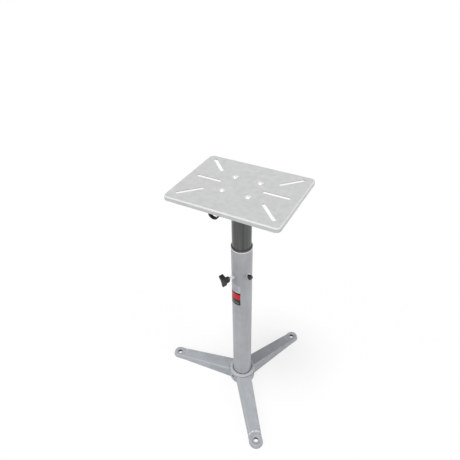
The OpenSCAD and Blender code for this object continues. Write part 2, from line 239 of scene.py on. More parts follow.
world = bpy.data.worlds.new("studio")
world.use_nodes = True
scene.world = world
sky = Nodes(world.node_tree)
sky_shader = sky.tree.nodes["Background"]
sky.tree.links.new((looked_at(sky) * (1 - sky_level) + sky_level).socket, sky_shader.inputs["Strength"])
sky_shader.inputs["Color"].default_value = grey(1.0)

floor_mesh = bpy.data.meshes.new("floor")
floor_mesh.from_pydata([(x * floor_side / 2, y * floor_side / 2, -floor_drop)
                        for x, y in ((-1, -1), (1, -1), (1, 1), (-1, 1))], [], [(0, 1, 2, 3)])
floor = place_object("floor", floor_mesh)
floor_paint = Finish("white_floor", Roughness=1.0, Specular_IOR_Level=0.0, Emission_Strength=1.0)
floor_seen = looked_at(floor_paint)
floor_paint.feed(Base_Color=floor_paint.mix(floor_seen, grey(floor_white), grey(floor_shown)),
                 Emission_Color=floor_paint.mix(floor_seen, grey(0.0), grey(floor_glow)))
floor_mesh.materials.append(floor_paint.material)

soft_light("overhead_light", azimuth=-22, elevation=78, spread=15, level=0.38)
soft_light("front_light", azimuth=-30, elevation=22, spread=70, level=0.45)
soft_light("side_light", azimuth=80, elevation=16, spread=40, level=0.40)


# Floor base
# One hollow three-legged casting with a bored hub. The sand mould leaves round edges and a
# faintly wavy skin, and silver enamel covers it all. The enamel is lighter on the edges, where it
# is thinner and carries a painted highlight. Painted highlights lighten the hub's collar and the
# steps of the feet, and painted shade darkens the corners, the ring round the tube and the holes.
first_leg_turn, hub_r, hub_top, seat_height, bore_r = 36.8, 0.045, 0.046, 0.010, 0.03183
tapped_height, tapped_r, tapped_start = 0.024, 0.00405, 0.032
floor_bolt_r, floor_hole_r, foot_step_r, pad_top = 0.2595, 0.008, 0.0265, 0.013
drill_margin, drill_past_hub, drill_low, drill_past_pad = 0.0009, 0.001, 0.0006, 0.0004
cast_grain, cast_passes, cast_faces_kept, cast_crease = 0.0011, 3, 0.58, 50
collar_blend, collar_depth, corner_shade_rise, bore_shade_width = 0.0008, 0.0012, 0.010, 0.0016
step_core, step_reach, step_rise, bolt_hole_edge, tapped_edge = 0.0009, 0.002, 0.0006, 0.0002, 0.0006
cast_dark, cast_light = colour(154, 157, 162), colour(182, 185, 190)
cast_edge_wear_and_highlight, cast_collar_highlight, cast_step_highlight = colour(214, 217, 220), colour(204, 207, 211), colour(236, 238, 240)
cast_corner_shade, cast_bore_shade, cast_hole_shade = colour(84, 85, 88), colour(70, 71, 74), colour(30, 30, 33)


def settle(piece):
    """Works a piece's modifiers into its mesh."""
    graph = bpy.context.evaluated_depsgraph_get()
    piece.data = bpy.data.meshes.new_from_object(piece.evaluated_get(graph))
    piece.modifiers.clear()


def merged_copy(name, node, gap=1e-6):
    """A copy of a CAD node whose loose triangles are joined up."""
    shape = bmesh.new()
    shape.from_mesh(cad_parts[node].data)
    bmesh.ops.remove_doubles(shape, verts=shape.verts, dist=gap)
    mesh = bpy.data.meshes.new(name)
    shape.to_mesh(mesh)
    shape.free()
    mesh.materials.clear()
    return place_object(name, mesh)


def smooth(piece, passes):
    """Rounds a piece's edges, as moulding does."""
    rounding = piece.modifiers.new("round", "SMOOTH")
    rounding.factor, rounding.iterations = 0.5, passes


def recast(piece, grain):
    """Remakes a piece's skin in even facets, as large as the grain."""
    skin = piece.modifiers.new("recast", "REMESH")
    skin.mode, skin.voxel_size = "VOXEL", grain


def points_of(mesh, what="co"):
    """The places or normals of a mesh's points as rows."""
    values = np.empty(len(mesh.vertices) * 3)
    mesh.vertices.foreach_get(what, values)
    return values.reshape(-1, 3)


def store(mesh, name, values):
    """Keeps one number for each point of a mesh under a name that node trees can read."""
    kept = mesh.attributes.new(name, "FLOAT", "POINT")
    kept.data.foreach_set("value", values.astype(np.float32))


def mark_edges(mesh, passes=2):
    """Stores how sharply the skin bends at each point: above 0 on edges, below 0 in corners."""
    points, normals = points_of(mesh), points_of(mesh, "normal")
    ends = np.empty(len(mesh.edges) * 2, int)
    mesh.edges.foreach_get("vertices", ends)
    a, b = ends.reshape(-1, 2).T
    step = points[b] - points[a]
    length = np.linalg.norm(step, axis=1)
    share = np.bincount(ends, minlength=len(points))

    def gather(at_a, at_b):
        return (np.bincount(a, at_a, len(points)) + np.bincount(b, at_b, len(points))) / share

    bend = gather(-(normals[a] * step).sum(1) / length, (normals[b] * step).sum(1) / length)
    for _ in range(passes):
        bend = (bend + gather(bend[b], bend[a])) / 2
    store(mesh, "bend", bend)


def drill(points, middle, axis, radius, start, end):
    """Trues up a hole that is drilled after casting."""
    off = points - middle
    depth = off @ axis
    off -= depth[:, None] * axis
    reach = np.linalg.norm(off, axis=1)
    on_wall = (abs(reach - radius) < drill_margin) & (depth > start) & (depth < end)
    points[on_wall] += off[on_wall] * (radius / reach[on_wall] - 1)[:, None]


def drill_base(mesh):
    """Drills the three tapped holes between the legs and the three floor bolt holes."""
    points, up = points_of(mesh), np.array((0, 0, 1))
    for turn in np.radians(first_leg_turn + np.arange(3) * 120):
        leg = np.array((math.sin(turn), -math.cos(turn), 0))
        drill(points, up * tapped_height, -leg, tapped_r, bore_r, hub_r + drill_past_hub)
        drill(points, leg * floor_bolt_r, up, floor_hole_r, drill_low, pad_top + drill_past_pad)
    mesh.vertices.foreach_set("co", points.ravel())
    mesh.set_sharp_from_angle(angle=math.radians(cast_crease))


def nearest_arm(around, off_axis, first_turn):
    """Places along and beside the nearest of three arms, 120 degrees apart."""
    sector = math.tau / 3
    turn = ((around - math.radians(first_turn)) / sector + 0.5).part() * sector - sector / 2
    return off_axis * turn.cosine(), off_axis * turn.sine()


enamel = Finish("silver_cast_enamel", Specular_IOR_Level=0.5)
enamel_tone = (enamel.noise(0.032, 3) * 0.5 + enamel.noise(0.0011, 2) * 0.5).ramp(0.3, 0.7)
enamel_colour = enamel.mix(enamel_tone, cast_dark, cast_light)
bend = enamel.add("ShaderNodeAttribute", output="Fac", attribute_name="bend")
# Lighter on convex edges: thinner paint there, and a painted highlight.
enamel_colour = enamel.mix(bend.ramp(0.03, 0.16) * 0.45, enamel_colour, cast_edge_wear_and_highlight)
x, y, z = enamel.axes(enamel.place)
off_column, around = (x * x + y * y) ** 0.5, x.angle(0 - y)
# Painted highlight: the top of the hub's collar is lighter.
collar_highlight = off_column.ramp(hub_r, hub_r - collar_blend) * (z > hub_top - collar_depth)
enamel_colour = enamel.mix(collar_highlight * 0.5, enamel_colour, cast_collar_highlight)
# Painted shade: darker in the corners and creases, above the feet.
corner_shade = (0 - bend).ramp(0.015, 0.07) * (z > pad_top + corner_shade_rise)
enamel_colour = enamel.mix(corner_shade * 0.75, enamel_colour, cast_corner_shade)
# Painted shade: a dark ring round the tube at the mouth of the hub's bore.
bore_shade = (off_column < bore_r + bore_shade_width) * (z > seat_height)
enamel_colour = enamel.mix(bore_shade, enamel_colour, cast_bore_shade)
along, beside = nearest_arm(around, off_column, first_leg_turn)
off_bolt = ((along - floor_bolt_r) ** 2 + beside * beside) ** 0.5
# Painted highlight: light patches on the step from each leg down to its foot pad.
step_highlight = abs(off_bolt - foot_step_r).ramp(step_reach, step_core) * (z > pad_top + step_rise)
step_highlight = step_highlight * enamel.noise(0.008).ramp(0.35, 0.6)
enamel_colour = enamel.mix(step_highlight, enamel_colour, cast_step_highlight)
# Painted shade: near-black inside the tapped holes and the floor bolt holes.
along, beside = nearest_arm(around, off_column, first_leg_turn - 60)
off_tapped = (beside * beside + (z - tapped_height) ** 2) ** 0.5
in_tapped = (off_tapped < tapped_r + tapped_edge) * (along > tapped_start)
holes = (off_bolt < floor_hole_r + bolt_hole_edge).high(in_tapped)
enamel_colour = enamel.mix(holes, enamel_colour, cast_hole_shade)
enamel.feed(Base_Color=enamel_colour, Roughness=enamel.noise(0.006) * 0.16 + 0.36)
enamel.relief(enamel.noise(0.009, 2) * 0.00022 + enamel.dimples(0.0016) * 0.00006)

floor_base = merged_copy("cast_floor_base", "base_casting")
recast(floor_base, cast_grain)
smooth(floor_base, cast_passes)
settle(floor_base)
floor_base.data.shade_smooth()
floor_base.modifiers.new("fewer_faces", "DECIMATE").ratio = cast_faces_kept
settle(floor_base)
mark_edges(floor_base.data)
drill_base(floor_base.data)
floor_base.data.materials.append(enamel.material)
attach(floor_base, "stand")
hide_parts("base_casting")


# Set screws
# Three black socket set screws hold the tube in the hub. They stand in tapped holes between the
# legs, well below the casting's skin.
set_screw_start, set_screw_length, set_screw_r, set_screw_ease = 0.03179, 0.00741, 0.004, 0.0005
set_point_r, set_point_height = 0.0024, 0.0016
set_socket_flats, set_socket_depth = 0.004, 0.004


class Shaper(Nodes):
    """A Geometry Nodes tree with named inputs that shapes a piece."""

    def __init__(self, name, **kinds):
        super().__init__(bpy.data.node_groups.new(name, "GeometryNodeTree"))
        sides, self.keys = self.tree.interface, {}
        for label, kind in dict(Piece="Geometry", **kinds, Finish="Material").items():
            made = sides.new_socket(label, in_out="INPUT", socket_type="NodeSocket" + kind)
            self.keys[label] = made.identifier
        sides.new_socket("Piece", in_out="OUTPUT", socket_type="NodeSocketGeometry")
        self.given = self.tree.nodes.new("NodeGroupInput")

    def value(self, label):
        return Socket(self, self.given.outputs[label])

    def stored(self, name):
        """A number that is kept on the mesh for each point."""
        return self.add("GeometryNodeInputNamedAttribute", {"Name": name}, data_type="FLOAT")

    def close(self, shape):
        """Ends the tree: plain mesh, in the finish that its input names."""
        plain = self.add("GeometryNodeRealizeInstances", [shape])
        coated = self.add("GeometryNodeSetMaterial", {
            "Geometry": plain, "Material": self.value("Finish")})
        self.tree.links.new(coated.socket, self.tree.nodes.new("NodeGroupOutput").inputs[0])

    def shape(self, piece, finish, **values):
        """Works the tree into a piece's mesh."""
        modifier = piece.modifiers.new(self.tree.name, "NODES")
        modifier.node_group = self.tree
        for label, value in dict(values, Finish=finish.material).items():
            modifier[self.keys[label]] = value
        settle(piece)


def eased(outline, ring=False, longest=0.48):
    """Rounds an outline's corners: each point is (radius, height) with an optional easing."""
    corners = [(np.array(p[:2], float), p[2] if len(p) > 2 else 0.0) for p in outline]
    eased_line = []
    for i, (corner, ease) in enumerate(corners):
        if not ease or (not ring and i in (0, len(corners) - 1)):
            eased_line.append(corner)
            continue
        before, after = corners[i - 1][0] - corner, corners[(i + 1) % len(corners)][0] - corner
        reach = [min(ease, np.linalg.norm(way) * longest) for way in (before, after)]
        start = corner + before / np.linalg.norm(before) * reach[0]
        end = corner + after / np.linalg.norm(after) * reach[1]
        eased_line += [start * (1 - s) ** 2 + corner * 2 * s * (1 - s) + end * s ** 2
                       for s in (0, 0.25, 0.5, 0.75, 1)]
    return eased_line


def hexagon(flats, angle):
    """Distance from a hexagon's middle to its edge in one direction."""
    return flats / 2 / math.cos((angle + math.pi / 6) % (math.pi / 3) - math.pi / 6)


def tidy_mesh(mesh, crease=35, gap=2e-7, sliver=1e-8):
    """Welds a mesh's seams, faces it outwards and keeps its creases sharp."""
    shape = bmesh.new()
    shape.from_mesh(mesh)
    bmesh.ops.remove_doubles(shape, verts=shape.verts, dist=gap)
    bmesh.ops.dissolve_degenerate(shape, edges=shape.edges, dist=sliver)
    bmesh.ops.recalc_face_normals(shape, faces=shape.faces)
    shape.to_mesh(mesh)
    shape.free()
    mesh.shade_smooth()
    mesh.set_sharp_from_angle(angle=math.radians(crease))


def turned(name, section, count=96, ring=False):
    """A piece turned round Z. Its section is an outline, or a function of the angle that gives one."""
    angles = [step * math.tau / count for step in range(count)]
    lines = [section(angle) if callable(section) else section for angle in angles]
    points = [(r * math.cos(angle), r * math.sin(angle), z)
              for angle, line in zip(angles, lines) for r, z in line]
    n = len(lines[0])
    faces = [(step * n + i, step * n + (i + 1) % n, (step + 1) % count * n + (i + 1) % n,
              (step + 1) % count * n + i) for step in range(count) for i in range(n if ring else n - 1)]
    mesh = bpy.data.meshes.new(name)
    mesh.from_pydata(points, [], faces)
    tidy_mesh(mesh)
    return place_object(name, mesh)


def radial(turn, reach, height):
    """Stands a piece's Z axis outwards from the column, in one direction round it."""
    turn, up = math.radians(turn), Vector((0, 0, 1))
    across = Vector((math.cos(turn), math.sin(turn), 0))
    out = Vector((math.sin(turn), -math.cos(turn), 0))
    return Matrix.Translation(out * reach + up * height) @ Matrix((across, up, out)).transposed().to_4x4()


def fit(piece, body, slot, *nodes):
    """Attaches a finished piece to the body it moves with and hides the CAD nodes it stands for."""
    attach(piece, body)
    if nodes:
        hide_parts(*nodes)


oxide = Finish("black_oxide_steel", Metallic=0.6)
oxide_grain = oxide.noise(0.0007, 3)
oxide.feed(Base_Color=oxide.mix(oxide_grain.ramp(0.35, 0.7), colour(38, 38, 40), colour(56, 56, 58)),
           Roughness=oxide_grain * 0.2 + 0.3)
oxide.relief(oxide_grain * 0.00002)

round_column = Shaper("repeat_round_column", Count="Int")
places = round_column.add("GeometryNodePoints", {"Count": round_column.value("Count")})
share = round_column.add("GeometryNodeInputIndex") / round_column.value("Count")
spun = round_column.add("ShaderNodeCombineXYZ", {"Z": share * math.tau})
round_column.close(round_column.add("GeometryNodeInstanceOnPoints", {
    "Points": places, "Instance": round_column.value("Piece"), "Rotation": spun}))


def set_screw_section(angle):
    """Section in one direction: flat point, shank and the wall and floor of a hexagon socket."""
    socket_r = hexagon(set_socket_flats, angle)
    return eased([
        (0, 0), (set_point_r, 0), (set_screw_r, set_point_height),
        (set_screw_r, set_screw_length, set_screw_ease), (socket_r, set_screw_length),
        (socket_r, set_screw_length - set_socket_depth), (0, set_screw_length - set_socket_depth)])


set_screws = turned("grub_screws", set_screw_section, count=48)
set_screws.data.transform(radial(first_leg_turn - 60, set_screw_start, tapped_height))
round_column.shape(set_screws, oxide, Count=3)
fit(set_screws, "stand", "black_steel", "set_screws")


# Lower tube
# Welded steel tube, 63.5 mm across, in satin silver paint. Its drawn skin shows faintly along
# its length. Its upper rim is painted near-white: worn paint there, and a painted highlight as well.
tube_rim, rim_band_full, rim_band_start = 0.620, 0.0028, 0.0036
tube_dark, tube_light, rim_steel_and_highlight = colour(164, 166, 170), colour(184, 186, 191), colour(240, 240, 240)
tube_paint = Finish("satin_silver_paint", Specular_IOR_Level=0.5)
tube_streak = tube_paint.noise(0.004, 3, stretch=(1, 1, 0.03))
tube_peel = tube_paint.noise(0.0013, 1)
tube_tone = (tube_streak * 0.45 + tube_paint.noise(0.05, 3) * 0.55).ramp(0.32, 0.68)
x, y, z = tube_paint.axes(tube_paint.place)
# Near-white at the upper rim: worn paint, and a painted highlight.
rim_wear_and_highlight = z.ramp(tube_rim - rim_band_start, tube_rim - rim_band_full) * tube_paint.noise(0.006, 2).ramp(0.28, 0.38)
tube_colour = tube_paint.mix(tube_tone, tube_dark, tube_light)
tube_paint.feed(Base_Color=tube_paint.mix(rim_wear_and_highlight, tube_colour, rim_steel_and_highlight),
                Roughness=tube_peel * 0.12 + 0.33)
tube_paint.relief(tube_peel * 0.00003 + tube_streak * 0.00002)


def repaint(node, finish):
    """Gives a CAD node its finish."""
    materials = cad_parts[node].data.materials
    materials.clear()
    materials.append(finish.material)


repaint("outer_tube", tube_paint)


# Column bush
# Moulded black plastic sleeve pressed into the lower tube. Its lip covers the tube's rim.
bush_top, bush_length, lip_height = 0.625, 0.047, 0.005
bush_skirt_r, bush_lip_r, bush_bore_r = 0.03012, 0.03175, 0.028655
bush_ease, lip_under_ease, lip_ease, mouth_ease = 0.0005, 0.0004, 0.0018, 0.0008
plastic_dark, plastic_light = colour(34, 34, 36), colour(46, 46, 48)
bush_dark, bush_light = colour(82, 83, 84), colour(98, 99, 100)

plastic = Finish("black_moulded_plastic", Specular_IOR_Level=0.3)
plastic_grain = plastic.noise(0.00045, 2)
plastic.feed(Base_Color=plastic.mix(plastic.noise(0.012, 2).ramp(0.3, 0.7), plastic_dark, plastic_light),
             Roughness=plastic_grain * 0.16 + 0.42)
plastic.relief(plastic_grain * 0.00005)

bush_skin = Finish("dark_grey_bush_plastic", Specular_IOR_Level=0.4)
bush_cloud = bush_skin.noise(0.009, 3)
bush_skin.feed(Base_Color=bush_skin.mix(bush_cloud.ramp(0.3, 0.7), bush_dark, bush_light),
               Roughness=bush_cloud * 0.2 + 0.3)
bush_skin.relief(bush_skin.noise(0.0006, 2) * 0.00004)

bush_foot, lip_foot = bush_top - bush_length, bush_top - lip_height
bush_section = eased([
    (bush_bore_r, bush_foot, bush_ease), (bush_skirt_r, bush_foot, bush_ease),
    (bush_skirt_r, lip_foot), (bush_lip_r, lip_foot, lip_under_ease),
    (bush_lip_r, bush_top, lip_ease), (bush_bore_r, bush_top, mouth_ease)], ring=True)
bush = turned("bush_sleeve", bush_section, count=128, ring=True)
bush.data.materials.append(bush_skin.material)
fit(bush, "stand", "black_plastic", "column_bush")


# Upper tube and its guide
# Dark grey steel tube that slides in the bush, with the long faint rubs that sliding leaves and
# broad lighter and darker bands up its length that are painted reflections. A plastic plug guides
# its lower end inside the lower tube.
post_dark, post_light = colour(60, 61, 61), colour(92, 93, 93)
post_paint = Finish("satin_dark_grey_paint", Specular_IOR_Level=0.45)
post_rub = post_paint.noise(0.0035, 4, stretch=(1, 1, 0.015))
# Painted reflections: broad lighter and darker bands up the tube.
post_reflection_band = post_paint.noise(0.013, 1, stretch=(1, 1, 0.02))
post_tone = (post_rub * 0.35 + post_reflection_band * 0.65).ramp(0.36, 0.64)
post_paint.feed(Base_Color=post_paint.mix(post_tone, post_dark, post_light),
                Roughness=post_rub * 0.2 + 0.26)
post_paint.relief(post_paint.noise(0.0012, 1) * 0.00003)
repaint("inner_tube", post_paint)
repaint("guide_plug", plastic)


# Welded nuts
# Two M8 nuts with chamfered corners, cut to sit on the lower tube over its holes and held by a
# small weld bead round their feet.
nut_flats, nut_height, nut_bore_r, nut_mouth = 0.013, 0.007, 0.0041, 0.0006
nut_face_share, nut_chamfer = 0.475, 30
tube_r, nut_seat = 0.03175, 0.00003
knob_turn, knob_height, clamp_turn, clamp_height = -23.2, 0.522, 58.5, 0.533
bead_r, bead_pitch, bead_out, bead_lift, bead_points = 0.0011, 0.0016, 0.00011, 0.00022, 48
bead_sides, bead_least, bead_swell = 10, 0.8, 0.3
zinc_dark, zinc_light = colour(208, 210, 213), colour(238, 238, 236)

zinc = Finish("bright_zinc_plate", Metallic=1.0)
zinc_cloud = zinc.noise(0.004, 3)
zinc.feed(Base_Color=zinc.mix(zinc_cloud.ramp(0.3, 0.7), zinc_dark, zinc_light),
          Roughness=zinc_cloud * 0.22 + 0.2)
zinc.relief(zinc.noise(0.0006, 2) * 0.00001)

lay_bead = Shaper("lay_weld_bead", Radius="Float", Pitch="Float")
run = lay_bead.add("GeometryNodeResampleCurve", {
    "Curve": lay_bead.add("GeometryNodeMeshToCurve", [lay_bead.value("Piece")]),
    "Length": lay_bead.value("Pitch") * 0.25}, mode="LENGTH")
laid = lay_bead.add("GeometryNodeSplineParameter", output="Length") / lay_bead.value("Pitch")
ripple = abs(laid.part() * 2 - 1) * bead_swell + bead_least
lay_bead.close(lay_bead.add("GeometryNodeCurveToMesh", {
    "Curve": run, "Scale": lay_bead.value("Radius") * ripple,
    "Profile Curve": lay_bead.add("GeometryNodeCurvePrimitiveCircle", {
        "Resolution": bead_sides, "Radius": 1.0})}))


def weld_bead(name, points, radius, pitch, finish):
    """A rippled bead of weld along a closed run of points."""
    mesh = bpy.data.meshes.new(name)
    mesh.from_pydata(points, [(i, (i + 1) % len(points)) for i in range(len(points))], [])
    bead = place_object(name, mesh)
    lay_bead.shape(bead, finish, Radius=radius, Pitch=pitch)
    tidy_mesh(bead.data, crease=80)
    return bead


def joined(pieces):
    """Several parts of one piece as one object."""
    with bpy.context.temp_override(active_object=pieces[0], selected_editable_objects=pieces):
        bpy.ops.object.join()
    return pieces[0]


def nut_section(flats, height, bore, angle, foot=None):
    """Section of a hexagon nut in one direction. A foot gives the height of what it stands on."""
    edge, face_r, mouth = hexagon(flats, angle), flats * nut_face_share, bore + nut_mouth
    drop = max(0.0, edge - face_r) * math.tan(math.radians(nut_chamfer))
    top = [(edge, height - drop), (face_r, height), (mouth, height), (bore, height - nut_mouth)]
    if foot:
        return [(bore, foot(bore, angle)), (edge, foot(edge, angle))] + top
    return [(mouth, 0), (face_r, 0), (edge, drop)] + top + [(bore, nut_mouth)]


def tube_face(r, angle):
    """Height of the tube's face under a nut, from a plane that touches the tube."""
    return math.sqrt((tube_r + nut_seat) ** 2 - (r * math.cos(angle)) ** 2) - tube_r


def tube_nut_section(angle):
    return nut_section(nut_flats, nut_height, nut_bore_r, angle, tube_face)


def bead_point(angle):
    """A place on the line where a nut meets the tube."""
    r = hexagon(nut_flats, angle) + bead_out
    return (r * math.cos(angle), r * math.sin(angle), tube_face(r, angle) + bead_lift)


for side, turn, height in (("knob", knob_turn, knob_height), ("clamp", clamp_turn, clamp_height)):
    nut = turned(side + "_nut_on_tube", tube_nut_section, ring=True)
    nut.data.materials.append(zinc.material)
    seam_points = [bead_point(step * math.tau / bead_points) for step in range(bead_points)]
    joined([nut, weld_bead(side + "_nut_bead", seam_points, bead_r, bead_pitch, tube_paint)])
    nut.data.transform(radial(turn, tube_r, height))
    fit(nut, "stand", "zinc_steel", side + "_weld_nut")


# Hand knob
# M8 stud with a real thread in a three-lobed black plastic knob. The lobes get thinner towards
# their tips, as mouldings do, so that the knob leaves its mould.
thread_r, thread_pitch, thread_depth = 0.004, 0.00125, 0.00068
thread_point_r, thread_lead, thread_crease = 0.00312, 0.001, 50
flank_slope, crest_share, least_r = 1.3, 0.15, 0.0001
stud_start, stud_length = 0.028875, 0.041125
knob_back, knob_front, knob_root_r, lobe_reach = 0.0605, 0.074, 0.0086, 0.0205
lobe_taper, lobe_crown, knob_grain, knob_passes, knob_swell = 0.0008, 0.0006, 0.00045, 2, 0.0007

cut_thread = Shaper("cut_thread", Pitch="Float", Depth="Float")
x, y, z = cut_thread.axes(cut_thread.add("GeometryNodeInputPosition"))
wave = (z / cut_thread.value("Pitch") - y.angle(x) / math.tau).part()
groove = (abs(wave * 2 - 1) * flank_slope - crest_share).high(0.0).low(1.0)
cut = groove * cut_thread.stored("thread") * cut_thread.value("Depth")
narrower = 1 - cut / (x * x + y * y).root().high(least_r)
cut_thread.close(cut_thread.add("GeometryNodeSetPosition", {
    "Geometry": cut_thread.value("Piece"),
    "Position": cut_thread.add("ShaderNodeCombineXYZ", [x * narrower, y * narrower, z])}))


def thread(piece, start, end, radius, finish, pitch=thread_pitch, depth=thread_depth, skin=0.97):
    """Cuts a right-hand thread between two heights of a turned piece."""
    points = points_of(piece.data)
    on_skin = np.hypot(points[:, 0], points[:, 1]) > radius * skin
    runs = np.clip((points[:, 2] - start) / pitch, 0, 1) * np.clip((end - points[:, 2]) / pitch, 0, 1)
    store(piece.data, "thread", runs * on_skin)
    cut_thread.shape(piece, finish, Pitch=pitch, Depth=depth)
    piece.data.shade_smooth()
    piece.data.set_sharp_from_angle(angle=math.radians(thread_crease))


def rows(radius, start, end, pitch=thread_pitch, steps=8):
    """Close points up a threaded shank, so many steps to each turn of the thread."""
    return [(radius, z) for z in np.linspace(start, end, int(abs(end - start) / pitch * steps) + 1)]


stud_shank = rows(thread_r, thread_lead, stud_length)
stud = turned("knob_stud_thread", [(0, 0), (thread_point_r, 0)] + stud_shank + [(0, stud_length)], count=40)
thread(stud, 0, stud_length, thread_r, zinc)
stud.data.transform(radial(knob_turn, stud_start, knob_height))
fit(stud, "lock_stud", "zinc_steel", "knob_stud")

knob = merged_copy("three_lobe_knob", "knob_body")
knob_place = radial(knob_turn, 0, knob_height)
knob.data.transform(knob_place.inverted())
recast(knob, knob_grain)
settle(knob)
points = points_of(knob.data)
reach = np.hypot(points[:, 0], points[:, 1])
outward = np.clip((reach - knob_root_r) / (lobe_reach - knob_root_r), 0, 1)
behind = np.clip((knob_front - points[:, 2]) / (knob_front - knob_back), 0, 1)
points[:, 2] += lobe_taper * outward * behind - lobe_crown * outward ** 2 * (1 - behind)
knob.data.vertices.foreach_set("co", points.ravel())
smooth(knob, knob_passes)
swell = knob.modifiers.new("swell", "DISPLACE")
swell.strength, swell.mid_level = knob_swell, 0
settle(knob)
knob.data.transform(knob_place)
knob.data.materials.append(plastic.material)
knob.data.shade_smooth()
fit(knob, "lock_knob", "black_plastic", "knob_body")


# Clamp screw
# Black socket-head cap screw with a knurled head. The key has rubbed its socket bright.
clamp_tip, clamp_shank, clamp_shank_ease = 0.028875, 0.013375, 0.0002
clamp_head_r, clamp_head_height = 0.0075, 0.008
clamp_socket_flats, clamp_socket_depth, socket_point = 0.006, 0.005, 0.0006
clamp_ease, clamp_rim_in, clamp_rim_wide, clamp_under = 0.0004, 0.0003, 0.001, 0.0005
knurl_count, knurl_depth, knurl_slant, knurl_rows, knurl_from = 36.0, 0.00025, 700, 22, 0.99
socket_reach, socket_below = 0.0036, 0.0007
socket_dark, socket_light = colour(120, 120, 121), colour(150, 150, 150)

rubbed_steel = Finish("rubbed_socket_steel", Metallic=1.0)
rubbed_grain = rubbed_steel.noise(0.0008, 2)
rubbed_steel.feed(Base_Color=rubbed_steel.mix(rubbed_grain, socket_dark, socket_light),
                  Roughness=rubbed_grain * 0.2 + 0.25)

roll_knurl = Shaper("roll_knurl", Count="Float", Depth="Float")
x, y, z = roll_knurl.axes(roll_knurl.add("GeometryNodeInputPosition"))
teeth = y.angle(x) / math.tau * roll_knurl.value("Count")
slant = z * knurl_slant
crossing = abs((teeth + slant).part() * 2 - 1).low(abs((teeth - slant).part() * 2 - 1))
cut = (1 - (crossing * 2.0).low(1.0)) * roll_knurl.stored("knurl") * roll_knurl.value("Depth")
narrower = 1 - cut / clamp_head_r
roll_knurl.close(roll_knurl.add("GeometryNodeSetPosition", {
    "Geometry": roll_knurl.value("Piece"),
    "Position": roll_knurl.add("ShaderNodeCombineXYZ", [x * narrower, y * narrower, z])}))

clamp_top = clamp_shank + clamp_head_height
clamp_floor = clamp_top - clamp_socket_depth


def clamp_section(angle):
    """Section in one direction: threaded shank, knurled head and a hexagon socket."""
    socket_r = hexagon(clamp_socket_flats, angle)
    side = np.linspace(clamp_shank + clamp_under, clamp_top - clamp_rim_wide, knurl_rows)
    return [(0, 0), (thread_point_r, 0)] + rows(thread_r, thread_lead, clamp_shank - clamp_shank_ease) + [
        (thread_r, clamp_shank), (clamp_head_r - clamp_ease, clamp_shank)] + [
        (clamp_head_r, z) for z in side] + [
        (clamp_head_r - clamp_rim_in, clamp_top - clamp_ease), (clamp_head_r - clamp_rim_wide, clamp_top),
        (socket_r + clamp_ease, clamp_top), (socket_r, clamp_top - clamp_ease),
        (socket_r, clamp_floor), (0, clamp_floor - socket_point)]


clamp = turned("knurled_clamp_screw", clamp_section, count=144)
points = points_of(clamp.data)
reach = np.hypot(points[:, 0], points[:, 1])
on_side = (reach > clamp_head_r * knurl_from) & (points[:, 2] > clamp_shank + clamp_ease)
store(clamp.data, "knurl", on_side)
roll_knurl.shape(clamp, oxide, Count=knurl_count, Depth=knurl_depth)
thread(clamp, 0, clamp_shank, thread_r, oxide)
clamp.data.materials.append(rubbed_steel.material)
for face in clamp.data.polygons:
    in_socket = face.center.xy.length < socket_reach and face.center.z > clamp_floor - socket_below
    face.material_index = int(in_socket)
clamp.data.transform(radial(clamp_turn, clamp_tip, clamp_height))
fit(clamp, "clamp", "black_steel", "clamp_screw")


# Top plate
# Steel sheet pressed into a shallow pan with a rolled edge and punched slots, in light grey
# enamel with a fine orange-peel skin. A painted highlight lightens the upper part of the bend.
plate_top, plate_width, plate_depth, plate_ahead, plate_corner_r = 0.820, 0.322, 0.251, 0.004, 0.014
bend_start, bend_full, bend_fade, bend_end, bend_low = 0.0040, 0.0024, 0.0010, 0.0002, 0.0050
plate_dark, plate_light, plate_highlight = colour(195, 196, 196), colour(212, 213, 213), colour(238, 239, 239)

plate_paint = Finish("light_grey_enamel", Specular_IOR_Level=0.5)
plate_cloud = plate_paint.noise(0.016, 4)
plate_grain = plate_paint.noise(0.0016, 2)
x, y, z = plate_paint.axes(plate_paint.place)
# Painted highlight: a lighter band round the upper part of the rolled edge.
past_x = abs(x) - (plate_width / 2 - plate_corner_r)
past_y = abs(y + plate_ahead) - (plate_depth / 2 - plate_corner_r)
past_corner = (past_x.high(0.0) ** 2 + past_y.high(0.0) ** 2) ** 0.5
past_edge = past_corner + past_x.high(past_y).low(0.0) - plate_corner_r
bend_highlight = (past_edge.ramp(-bend_start, -bend_full) * past_edge.ramp(-bend_end, -bend_fade)
              * (z > plate_top - bend_low))
plate_tone = (plate_cloud * 0.6 + plate_grain * 0.4).ramp(0.32, 0.68)
plate_colour = plate_paint.mix(plate_tone, plate_dark, plate_light)
plate_paint.feed(Base_Color=plate_paint.mix(bend_highlight * 0.55, plate_colour, plate_highlight),
                 Roughness=plate_grain * 0.12 + 0.24)
plate_paint.relief(plate_paint.dimples(0.0018) * 0.00004 + plate_paint.noise(0.03, 1) * 0.0002)
repaint("top_plate", plate_paint)


# Post flange
# Square steel flange with cut corners, welded all round to the top of the upper tube and painted
# with it.
post_r, flange_under = 0.028575, 0.8125
flange_bead_r, flange_bead_pitch, flange_bead_out, flange_bead_points = 0.0021, 0.0045, 0.0022, 96
repaint("post_flange", post_paint)
flange_bead_turns = [step * math.tau / flange_bead_points for step in range(flange_bead_points)]
flange_bead = weld_bead("flange_weld", [
    ((post_r + flange_bead_out) * math.cos(turn), (post_r + flange_bead_out) * math.sin(turn),
     flange_under - flange_bead_out) for turn in flange_bead_turns],
    flange_bead_r, flange_bead_pitch, post_paint)
fit(flange_bead, "head", "post_paint")


